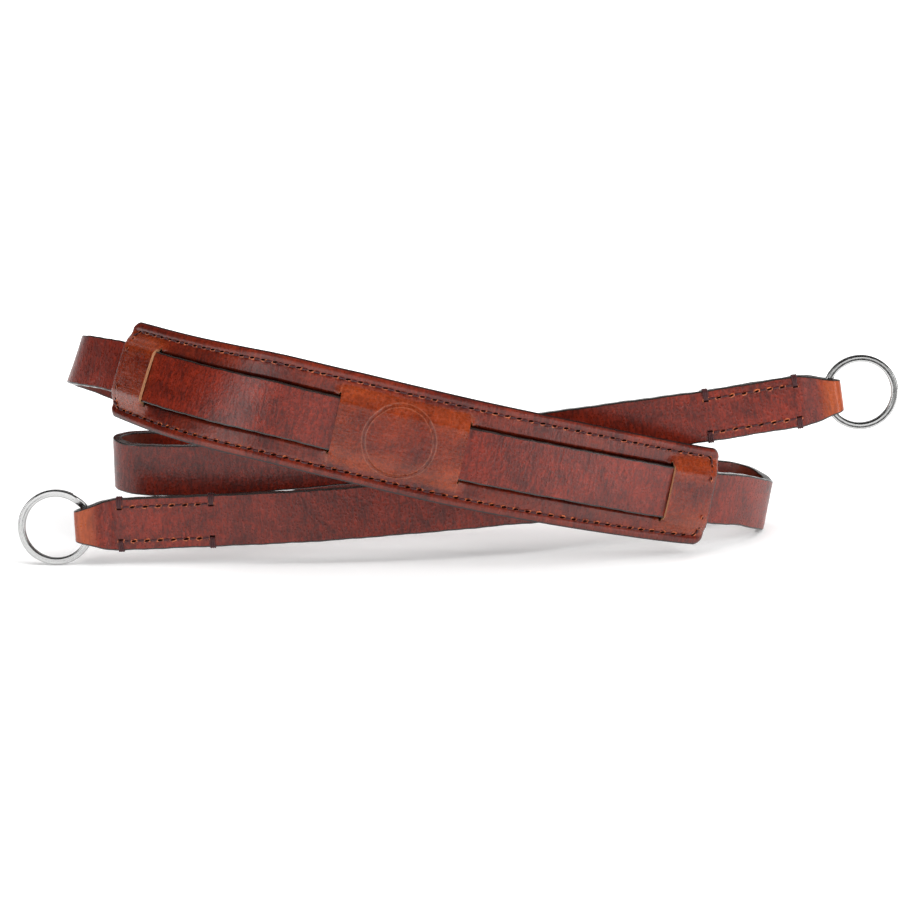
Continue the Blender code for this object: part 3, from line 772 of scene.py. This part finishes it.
def pad_finish():
    """Cognac leather, more orange where a keeper is pulled over the band, with the pressed ring and a painted
    highlight along its rims.
    """
    finish, tree, shader = new_finish("pad_cognac")
    pattern = point_value(tree, "flat_pattern", "Vector")
    keeper = point_value(tree, "keeper")
    texture = place_group(tree, grain, Pattern=pattern, Creases=spread(tree, keeper, 0.0, 1.0, 0.45, 0.85))
    lines = cloudy(tree, stretched(tree, pattern, (0.5, 2.4, 1.0)), 560.0, 3.0, 0.6, 1.6)
    wrinkles = maths(tree, "MULTIPLY", spread(tree, lines, 0.38, 0.62), keeper)
    height = maths(tree, "ADD", texture.outputs["Height"], maths(tree, "MULTIPLY", wrinkles, 0.7))
    tone = place_group(
        tree, dye, Pattern=pattern, Dark=(0.062, 0.0042, 0.0013, 1.0), Light=(0.205, 0.0165, 0.0046, 1.0),
        Pulled=(0.34, 0.050, 0.008, 1.0), Pull=keeper_pull(tree, pattern, keeper),
        Pores=texture.outputs["Pores"], Folds=texture.outputs["Folds"],
    )
    along, across = split_up(tree, pattern)
    along = maths(tree, "SUBTRACT", along, PAD_CENTRE)
    across = maths(tree, "ADD", across, PRESSED_RING_DROP)
    squares = maths(tree, "MULTIPLY", along, along), maths(tree, "MULTIPLY", across, across)
    radius = maths(tree, "SQRT", maths(tree, "ADD", *squares))
    off_ring = maths(tree, "ABSOLUTE", maths(tree, "SUBTRACT", radius, PRESSED_RING_RADIUS))
    pressed = spread(tree, off_ring, PRESSED_RING_LINE * 0.35, PRESSED_RING_LINE, 1.0, 0.0)
    darker = maths(tree, "MULTIPLY", pressed, 0.25)
    colour = blend_colour(tree, darker, tone.outputs["Color"], (0.07, 0.013, 0.005, 1.0))
    # A painted highlight along both rims of the pressed ring, plus the tan of the cut edge beside the middle
    # slits, broken up by the folds
    off_rim = maths(tree, "ABSOLUTE", maths(tree, "SUBTRACT", off_ring, PRESSED_RING_LINE))
    painted_ring_highlight = spread(tree, off_rim, 0.0, 0.00022, 0.42, 0.0)
    off_slit = maths(tree, "SUBTRACT", maths(tree, "ABSOLUTE", along), CENTRE_KEEPER_LENGTH / 2.0)
    at_slit = spread(tree, maths(tree, "ABSOLUTE", off_slit), 0.00010, 0.00035, 0.5, 0.0)
    ring_highlight_and_slit_tone = maths(tree, "ADD", painted_ring_highlight, maths(tree, "MULTIPLY", at_slit, keeper))
    fold_patchiness = spread(tree, texture.outputs["Folds"], 0.0, 1.0, 0.35, 1.0)
    ring_highlight_and_slit_tone = maths(tree, "MULTIPLY", ring_highlight_and_slit_tone, fold_patchiness)
    colour = blend_colour(tree, ring_highlight_and_slit_tone, colour, (0.52, 0.20, 0.12, 1.0))
    border = spread(tree, point_value(tree, "from_border"), 0.00025, 0.00055, 1.0, 0.0)
    colour = blend_colour(tree, border, colour, PAINT_BORDER_TONE)
    satin = spread(tree, height, 0.2, 1.2, 0.40, 0.23)
    height = maths(tree, "SUBTRACT", height, maths(tree, "MULTIPLY", pressed, 4.5))
    cover(tree, shader, colour, satin, height, *LEATHER_BUMP)
    return finish


def back_finish():
    """The back leather of the pad: the same hide, smoother and a little duller."""
    finish, tree, shader = new_finish("pad_back_cognac")
    pattern = point_value(tree, "flat_pattern", "Vector")
    texture = place_group(tree, grain, Pattern=pattern, Creases=0.35)
    tone = place_group(
        tree, dye, Pattern=pattern, Dark=(0.130, 0.034, 0.017, 1.0), Light=(0.220, 0.068, 0.036, 1.0),
        Pores=texture.outputs["Pores"],
    )
    height = texture.outputs["Height"]
    dull = spread(tree, height, 0.2, 1.2, 0.66, 0.5)
    cover(tree, shader, tone.outputs["Color"], dull, height, 0.4, 0.00015)
    return finish


# The bare cut edge of a slit shows tan fibres
raw_edge, _ = small_finish(
    "raw_cut_edge", (2600.0, 3.0, 0.6), ((0.30, 0.11, 0.045, 1.0), (0.60, 0.31, 0.16, 1.0)), 0.8, bump=0.5,
)
top_mesh = pad_leather(
    "pad_top_leather", lambda along, off: top_level(along, off) + top_relief(along, off), SLITS,
    WORN_THICKNESS, (pad_finish(), raw_edge, painted_edge),
)
add_piece("pad_top_leather", top_mesh, "pad_leather", "pad_top")


def back_level(along, off):
    """The back leather lies behind the band, comes forward beside it, and meets the top one at the seam."""
    gap = PLAY + (PAD_TOP_THICKNESS - WORN_THICKNESS) / 2.0 - 0.00005
    at_border = 1.0 - smooth_step((from_border(along, off) - 0.001) / 0.003)
    return margin_level(BACK_LEVEL, off) + gap * at_border


back_mesh = pad_leather(
    "pad_back_leather", back_level, (), PAD_BACK_THICKNESS, (back_finish(), painted_edge, painted_edge),
)
add_piece("pad_back_leather", back_mesh, "back_leather", "pad_back")

# The seams are waxed burgundy thread, sewn through pricked slanting slots: one row round the pad a little
# inside its border, and two short rows along each tab. Every stitch sinks into the leather at its ends.
THREAD_RADIUS = 0.00031
SLOT_LENGTH = 0.00200
SLOT_WIDTH = 0.00084
SUNK = 0.00012
TAB_SEAM_INSET = 0.0026
TAB_STITCHES = 8
TAB_ROW_ENDS = (0.0125, 0.0385)


def sewn_row_tree():
    """Lays holes and stitches along a row of points that know which way is out of the leather."""
    inputs = (
        ("Row", "Geometry", None), ("Holes", "Int", 8), ("Pitch", "Float", SEAM_PITCH),
        ("Thread Radius", "Float", THREAD_RADIUS), ("Slot Length", "Float", SLOT_LENGTH),
        ("Slot Width", "Float", SLOT_WIDTH), ("Slot Slant", "Float", 0.16), ("Stitch Slant", "Float", 0.06),
        ("Thread", "Material", None), ("Hole", "Material", None), ("Lip", "Material", None),
    )
    tree, given, made = new_group("sewn_row", inputs, (("Seam", "Geometry"),), "GeometryNodeTree")
    nodes = tree.nodes

    def part(kind, **inputs):
        node = nodes.new(kind)
        for label, value in inputs.items():
            plug(tree, node.inputs[label.replace("_", " ")], value)
        return node

    def share(label, factor):
        return maths(tree, "MULTIPLY", given.outputs[label], factor)

    def place(x, y, z):
        return part("ShaderNodeCombineXYZ", X=x, Y=y, Z=z).outputs[0]

    row = part("GeometryNodeMeshToCurve", Mesh=given.outputs["Row"])
    spaced = part("GeometryNodeResampleCurve", Curve=row.outputs[0], Count=given.outputs["Holes"])
    spaced.mode = "COUNT"
    out = part("GeometryNodeInputNamedAttribute", Name="outward")
    out.data_type = "FLOAT_VECTOR"
    tangent = nodes.new("GeometryNodeInputTangent").outputs[0]
    along = part("FunctionNodeAlignRotationToVector", Vector=tangent)
    along.axis = "X"
    outward = out.outputs["Attribute"]
    facing = part("FunctionNodeAlignRotationToVector", Rotation=along.outputs[0], Vector=outward)
    facing.axis = "Z"
    facing.pivot_axis = "X"

    def turned(label):
        turn = part("FunctionNodeEulerToRotation", Euler=place(0.0, 0.0, given.outputs[label]))
        both = part("FunctionNodeRotateRotation", Rotation=facing.outputs[0], Rotate_By=turn.outputs[0])
        both.rotation_space = "LOCAL"
        return both.outputs[0]

    def on_stitch(pitch_share, radii):
        return place(share("Pitch", pitch_share), 0.0, share("Thread Radius", radii))

    arc = part(
        "GeometryNodeCurveQuadraticBezier", Resolution=7, Start=on_stitch(0.17, -1.5),
        Middle=on_stitch(0.50, 2.4), End=on_stitch(0.83, -1.5),
    )
    ply = part("GeometryNodeCurvePrimitiveCircle", Resolution=6, Radius=given.outputs["Thread Radius"])
    thread = part(
        "GeometryNodeCurveToMesh", Curve=arc.outputs[0], Profile_Curve=ply.outputs[0], Fill_Caps=True,
    )
    dot = part("GeometryNodeMeshUVSphere", Segments=10, Rings=5, Radius=1.0)

    def flattened(length, width, height):
        size = place(share("Slot Length", length), share("Slot Width", width), share("Thread Radius", height))
        return part("GeometryNodeTransform", Geometry=dot.outputs[0], Scale=size)

    slot = flattened(0.5, 0.5, 0.75)
    lip = flattened(0.66, 0.90, 0.52)
    joined = nodes.new("GeometryNodeJoinGeometry")
    before_last = nodes.new("FunctionNodeCompare")
    before_last.operation = "LESS_THAN"
    plug(tree, before_last.inputs["A"], nodes.new("GeometryNodeInputIndex").outputs[0])
    plug(tree, before_last.inputs["B"], maths(tree, "SUBTRACT", given.outputs["Holes"], 1.5))
    laid_shapes = (
        (thread, "Stitch Slant", "Thread", before_last.outputs[0]),
        (slot, "Slot Slant", "Hole", True),
        (lip, "Slot Slant", "Lip", True),
    )
    for shape, slant, finish, chosen in laid_shapes:
        laid = part(
            "GeometryNodeInstanceOnPoints", Points=spaced.outputs[0], Selection=chosen,
            Instance=shape.outputs[0], Rotation=turned(slant),
        )
        real = part("GeometryNodeRealizeInstances", Geometry=laid.outputs[0])
        dyed = part("GeometryNodeSetMaterial", Geometry=real.outputs[0], Material=given.outputs[finish])
        tree.links.new(dyed.outputs[0], joined.inputs[0])
    plug(tree, made.inputs["Seam"], joined.outputs[0])
    return tree


sewn_row = sewn_row_tree()
# Waxed burgundy thread with a twist, the inside of a pricked slot, which no light reaches, and the small lip
# of leather that an awl leaves round the slot, lighter orange: partly the pulled leather's tone, partly a
# painted highlight
thread_dye, _ = small_finish(
    "waxed_thread", (3800.0, 2.0, 0.6), ((0.022, 0.005, 0.006, 1.0), (0.090, 0.021, 0.023, 1.0)), 0.55,
    bump=0.6,
)
slot_dark, _ = small_finish(
    "pricked_slot", (2500.0,), ((0.003, 0.001, 0.001, 1.0), (0.012, 0.003, 0.002, 1.0)), 1.0, specular=0.0,
)
# The lips' orange is partly the pulled leather's own tone and partly a painted highlight
slot_lip_tone_and_highlight, _ = small_finish(
    "slot_lip_tone_and_highlight", (1100.0,), ((0.10, 0.009, 0.003, 1.0), (0.50, 0.115, 0.035, 1.0)), 0.42, between=(0.44, 0.60),
)
sewn_finishes = {"Thread": thread_dye, "Hole": slot_dark, "Lip": slot_lip_tone_and_highlight}


def path_length(path):
    return float(np.sum(np.linalg.norm(np.diff(path, axis=0), axis=1)))


def sew(name, path, outward, holes):
    """One sewn row as a plain mesh."""
    mesh = bpy.data.meshes.new(name)
    mesh.from_pydata(path.tolist(), [(i, i + 1) for i in range(len(path) - 1)], [])
    give_points(mesh, outward=outward)
    carrier = put_in_scene(name, mesh)
    needle = carrier.modifiers.new("sewn_row", "NODES")
    needle.node_group = sewn_row
    values = {"Holes": holes, "Pitch": path_length(path) / (holes - 1), **sewn_finishes}
    for item in sewn_row.interface.items_tree:
        if item.in_out == "INPUT" and item.name in values:
            needle[item.identifier] = values[item.name]
    sewn = worked_mesh(carrier)
    sewn.shade_smooth()
    return sewn


def join_meshes(name, parts):
    """Joins plain meshes of the same materials into one."""
    whole = bmesh.new()
    for mesh in parts:
        whole.from_mesh(mesh)
    mesh = bpy.data.meshes.new(name)
    whole.to_mesh(mesh)
    whole.free()
    for finish in parts[0].materials:
        mesh.materials.append(finish)
    return mesh


def pad_seam_path():
    """The seam round the pad, as distance along and signed distance off the middle."""
    inset, corner = SEAM_INSET, SEAM_CORNER
    run = np.linspace(inset + corner, PAD_LENGTH - inset - corner, 160)
    upper = pad_half_width(run) - inset
    turn = np.radians(np.linspace(90.0, 0.0, 8))[1:]
    edge = pad_half_width(np.array([PAD_CORNER_RADIUS]))[0] - inset
    drop = np.linspace(edge - corner, edge - corner - SEAM_PITCH, 4)[1:]
    along = [PAD_LENGTH - inset - corner + corner * np.cos(turn), np.full(3, PAD_LENGTH - inset)]
    off = [edge - corner + corner * np.sin(turn), drop]
    far_along = np.concatenate([run] + along)
    far_off = np.concatenate([upper] + off)
    near_along = (PAD_LENGTH - np.concatenate(along))[::-1]
    near_off = np.concatenate(off)[::-1]
    return np.concatenate([near_along, far_along]), np.concatenate([near_off, far_off])


def pad_seam(side, facing):
    """Half of the seam round the pad, on its front or its back, sunk a little into the leather."""
    along, off = pad_seam_path()
    laid = along
    level = back_level(along, off) - PAD_BACK_THICKNESS / 2.0 + SUNK
    if facing > 0.0:
        laid = along + drawn_in(along, off)
        level = top_level(along, off) + WORN_THICKNESS / 2.0 - SUNK
    middle, _, up, front = band_line.frames(PAD_START + laid)
    path = middle + up * (side * off)[:, None] + front * level[:, None]
    return sew("pad_seam", path, front * facing, int(round(path_length(path) / SEAM_PITCH)) + 1)


pad_seams = [pad_seam(side, facing) for facing in (1.0, -1.0) for side in (1.0, -1.0)]
add_piece("pad_seams", join_meshes("pad_seams", pad_seams), "thread")


def along_from(ring, from_tip):
    return from_tip if ring == "left" else band_line.length - from_tip


def tab_seam(from_ring, side, facing):
    """A row along a tab, from the tack near the eye to the tack at the fold-back layer's end."""
    along = np.sort(along_from(from_ring, np.linspace(*TAB_ROW_ENDS, 20)))
    middle, _, up, left = band_line.frames(along)
    off = side * (BAND_WIDTH / 2.0 - TAB_SEAM_INSET)
    level = facing * (LAYERS_APART + LAYER_THICKNESS / 2.0)
    path = middle + up * off + left * (level - facing * 0.00005)
    return sew("tab_seam", path, left * facing, TAB_STITCHES)


ROW_SIDES = ((1, -1), (1, 1), (-1, -1), (-1, 1))
tab_seams = [tab_seam(ring, *sides) for ring in ("left", "right") for sides in ROW_SIDES]
add_piece("tab_seams", join_meshes("tab_seams", tab_seams), "thread")

# At the ends of each tab's rows the thread is wound a few times over the strap's edge, as a bar tack that
# stands proud of the leather.
TACK_THREADS = 3
TACK_SPACING = 0.00042


def thread_tube(path, radius, sides=8):
    """A closed thread along a path, as points and faces."""
    path = np.array(path)
    ways = unit(np.gradient(path, axis=0))
    aside = unit(np.cross(ways, np.array([0.31, 0.23, 0.92])))
    above = np.cross(ways, aside)
    angles = np.linspace(0.0, 2.0 * np.pi, sides, endpoint=False)
    cosines, sines = np.cos(angles)[:, None], np.sin(angles)[:, None]
    rounds = cosines * aside[:, None, :] + sines * above[:, None, :]
    points = (path[:, None, :] + rounds * radius).reshape(-1, 3)
    return points, tube_faces(len(path), sides)


def bar_tack(from_ring, from_tip, side):
    """Threads from the front hole over the edge to the back hole, each with its way round and its finish."""
    along = along_from(from_ring, from_tip)
    half = BAND_WIDTH / 2.0
    skin = LAYERS_APART + LAYER_THICKNESS / 2.0
    inset = half - TAB_SEAM_INSET
    round_front = (
        (inset - 0.0002, -skin + 0.0002), (inset + 0.0003, -skin - 0.00018), (half - 0.0006, -skin - 0.00022),
        (half + 0.00012, -skin + 0.00025), (half + 0.00025, 0.0),
    )
    corners = round_front + tuple((off, -level) for off, level in round_front[-2::-1])
    knots = np.arange(len(corners), dtype=float)
    fine = np.linspace(0.0, knots[-1], 25)
    parts = []
    for number in range(TACK_THREADS):
        shift = (number - (TACK_THREADS - 1) / 2.0) * TACK_SPACING
        middle, way, up, left = band_line.frame_at(along + shift)
        lean = (number - 1) * 0.00012 / TAB_SEAM_INSET
        path = []
        for off, level in corners:
            path.append(middle + up * side * off + left * level + way * lean * (off - inset))
        smooth = [flowing_line(knots, np.array(path)[:, k], fine) for k in range(3)]
        parts.append((thread_tube(np.stack(smooth, axis=1), THREAD_RADIUS * 0.9), 0))
    middle, way, up, left = band_line.frame_at(along)
    for facing in (-1.0, 1.0):
        for wide, deep, radius, finish in ((0.00075, 0.00028, 0.00046, 1), (0.00105, 0.00050, 0.00062, 2)):
            hole = middle + up * side * (inset - 0.0004) + left * facing * (skin - deep)
            ends = [hole + way * wide * share for share in (-1.0, -0.5, 0.5, 1.0)]
            parts.append((thread_tube(ends, radius), finish))
    return parts


def tacks_mesh():
    points, faces, finishes, start = [], [], [], 0
    for ring in ("left", "right"):
        for from_tip in TAB_ROW_ENDS:
            for side in (1, -1):
                for (tube_points, tube), finish in bar_tack(ring, from_tip, side):
                    points.append(tube_points)
                    finishes += [finish] * len(tube)
                    faces += [[corner + start for corner in face] for face in tube]
                    start += len(tube_points)
    mesh = bpy.data.meshes.new("bar_tacks")
    mesh.from_pydata(np.concatenate(points).tolist(), [], faces)
    for finish in sewn_finishes.values():
        mesh.materials.append(finish)
    mesh.polygons.foreach_set("material_index", finishes)
    face_outward(mesh)
    return mesh


add_piece("bar_tacks", tacks_mesh(), "thread")

# The split rings are flat spring steel wire, wound nearly twice round and polished. The wire steps from one
# turn to the other in the gap between its two ends.
RING_DIAMETER = 0.0216
WIRE_WIDTH = 0.0020
WIRE_THICKNESS = 0.00092
TURN_GAP = 0.00018
RING_SLACK = 0.0024
TURN_DEGREES = 690.0
STEP_FROM = 334.0
STEP_TO = 357.0
RING_RADIUS = (RING_DIAMETER - WIRE_WIDTH) / 2.0


def wire_section():
    """The flat wire's section with crowned faces and rounded edges: across the ring, and along its axis."""
    turns = np.radians(np.arange(28) * 360.0 / 28.0 + 6.4)
    across = np.sign(np.cos(turns)) * np.abs(np.cos(turns)) ** 0.75 * WIRE_WIDTH / 2.0
    along = np.sign(np.sin(turns)) * np.abs(np.sin(turns)) ** 0.9 * WIRE_THICKNESS / 2.0
    along *= 1.0 - 0.24 * np.exp(-((across / (0.22 * WIRE_WIDTH)) ** 2))
    return np.stack([across, along], axis=1)


def split_ring(name, tip_along, outward, gap_degrees):
    tip, way, up, left = band_line.frame_at(tip_along)
    centre = tip + way * outward * (RING_RADIUS - (LAYER_THICKNESS / 2.0 + RING_SLACK + WIRE_WIDTH / 2.0))
    section = wire_section()
    degrees = np.linspace(0.0, TURN_DEGREES, 346)[:, None]
    angles = np.radians(degrees + gap_degrees)
    radial = way * outward * np.cos(angles) + up * np.sin(angles)
    stepped = smooth_step((degrees - STEP_FROM) / (STEP_TO - STEP_FROM))
    middles = centre + radial * RING_RADIUS + left * (WIRE_THICKNESS + TURN_GAP) / 2.0 * (2.0 * stepped - 1.0)
    across, along = section.T
    points = middles[:, None] + across[:, None] * radial[:, None] + along[:, None] * left
    run = np.radians(degrees) * RING_RADIUS
    mesh = bpy.data.meshes.new(name)
    mesh.from_pydata(points.reshape(-1, 3).tolist(), [], tube_faces(len(degrees), len(section)))
    give_points(mesh, flat_pattern=np.stack(np.broadcast_arrays(run, across, along), axis=2))
    face_outward(mesh)
    mesh.set_sharp_from_angle(angle=SHARP_ANGLE)
    return mesh


def steel_finish():
    """Polished steel with faint drawing lines along the wire and a few handling marks."""
    finish, tree, shader = new_finish("polished_steel")
    pattern = point_value(tree, "flat_pattern", "Vector")
    drawn = cloudy(tree, stretched(tree, pattern, (0.03, 1.0, 1.0)), 9000.0, 2.0, 0.6)
    marks = cloudy(tree, pattern, 700.0, 4.0, 0.6)
    tone = blend_colour(tree, marks, (0.40, 0.40, 0.40, 1.0), (0.56, 0.56, 0.555, 1.0))
    shader.inputs["Metallic"].default_value = 1.0
    cover(tree, shader, tone, spread(tree, marks, 0.3, 0.7, 0.14, 0.24), drawn, 0.15, 0.00005)
    return finish


steel = steel_finish()
for ring_name, node, tip_along, outward, gap_degrees in (
    ("split_ring_left", "ring_left", 0.0, -1.0, 150.0),
    ("split_ring_right", "ring_right", band_line.length, 1.0, 194.0),
):
    ring_mesh = split_ring(ring_name, tip_along, outward, gap_degrees)
    ring_mesh.materials.append(steel)
    add_piece(ring_name, ring_mesh, "ring_steel", node)

# The strap is photographed on a white table under a large softbox, with darker surroundings in front of it.
# The camera looks down on it at 16 degrees from straight in front.
LOOK_DOWN = 16.0
CAMERA_TARGET = Vector((-0.0029, -0.0273, 0.0338))
CAMERA_DISTANCE = 0.600
TABLE_REACH = 5.0
WHITE = (1.0, 1.0, 1.0, 1.0)


def white_table():
    mesh = bpy.data.meshes.new("white_table")
    corners = [(x * TABLE_REACH, y * TABLE_REACH, 0.0) for x, y in ((-1, -1), (1, -1), (1, 1), (-1, 1))]
    mesh.from_pydata(corners, [], [(0, 1, 2, 3)])
    table = put_in_scene("white_table", mesh)
    finish, tree, shader = new_finish("table_white")
    place = tree.nodes.new("ShaderNodeTexCoord").outputs["Object"]
    reach_out = tree.nodes.new("ShaderNodeVectorMath")
    reach_out.operation = "LENGTH"
    plug(tree, reach_out.inputs[0], stretched(tree, place, (1.0, 1.6, 1.0)))
    shader.inputs["Base Color"].default_value = (0.86, 0.86, 0.86, 1.0)
    shader.inputs["Roughness"].default_value = 0.7
    shader.inputs["Specular IOR Level"].default_value = 0.2
    shader.inputs["Emission Color"].default_value = WHITE
    # The table glows less near the strap, a painted shade round it, and evenly white further off
    glow_with_painted_shade = spread(tree, reach_out.outputs["Value"], 0.11, 0.40, 0.22, 0.85)
    plug(tree, shader.inputs["Emission Strength"], glow_with_painted_shade)
    mesh.materials.append(finish)


def softbox(name, place, width, height, watts, mirrored=True):
    lamp = bpy.data.lights.new(name, "AREA")
    lamp.shape = "RECTANGLE"
    lamp.size = width
    lamp.size_y = height
    lamp.energy = watts
    holder = put_in_scene(name, lamp)
    holder.location = place
    holder.rotation_euler = (Vector((0.0, 0.0, 0.03)) - Vector(place)).to_track_quat("-Z", "Y").to_euler()
    holder.visible_glossy = mirrored


def studio():
    """White all round behind the strap, dim in front of it, and a large softbox overhead."""
    world = bpy.data.worlds.new("studio")
    bpy.context.scene.world = world
    world.use_nodes = True
    tree = world.node_tree
    sky = tree.nodes["Background"]
    rightward, backward = split_up(tree, tree.nodes.new("ShaderNodeTexCoord").outputs["Generated"])
    behind = maths(tree, "ADD", backward, maths(tree, "MULTIPLY", rightward, 0.35))
    lit = spread(tree, behind, 0.40, 0.80, 0.03, 1.0)
    seen = tree.nodes.new("ShaderNodeLightPath")
    plug(tree, sky.inputs["Color"], WHITE)
    plug(tree, sky.inputs["Strength"], maths(tree, "MAXIMUM", lit, seen.outputs["Is Camera Ray"]))
    softbox("overhead", (0.0, -0.10, 1.1), 1.5, 0.9, 12.5, False)
    softbox("front_right", (0.78, -0.92, 0.24), 0.34, 0.46, 2.0)
    softbox("front_left", (-0.90, -0.82, 0.32), 0.50, 0.52, 2.8)
    softbox("front", (-0.24, -1.18, 0.22), 0.30, 0.42, 0.7)
    softbox("right_fill", (1.00, -0.45, 0.75), 0.60, 0.60, 8.5, False)


def camera():
    lens = bpy.data.cameras.new("photograph")
    lens.sensor_width = 36.0
    lens.lens = 85.2
    lens.clip_start = 0.01
    lens.clip_end = 50.0
    holder = put_in_scene("photograph", lens)
    down = math.radians(LOOK_DOWN)
    holder.location = CAMERA_TARGET + Vector((0.0, -math.cos(down), math.sin(down))) * CAMERA_DISTANCE
    holder.rotation_euler = (math.radians(90.0 - LOOK_DOWN), 0.0, 0.0)
    bpy.context.scene.camera = holder


white_table()
studio()
camera()
bpy.context.scene.view_settings.view_transform = "Standard"
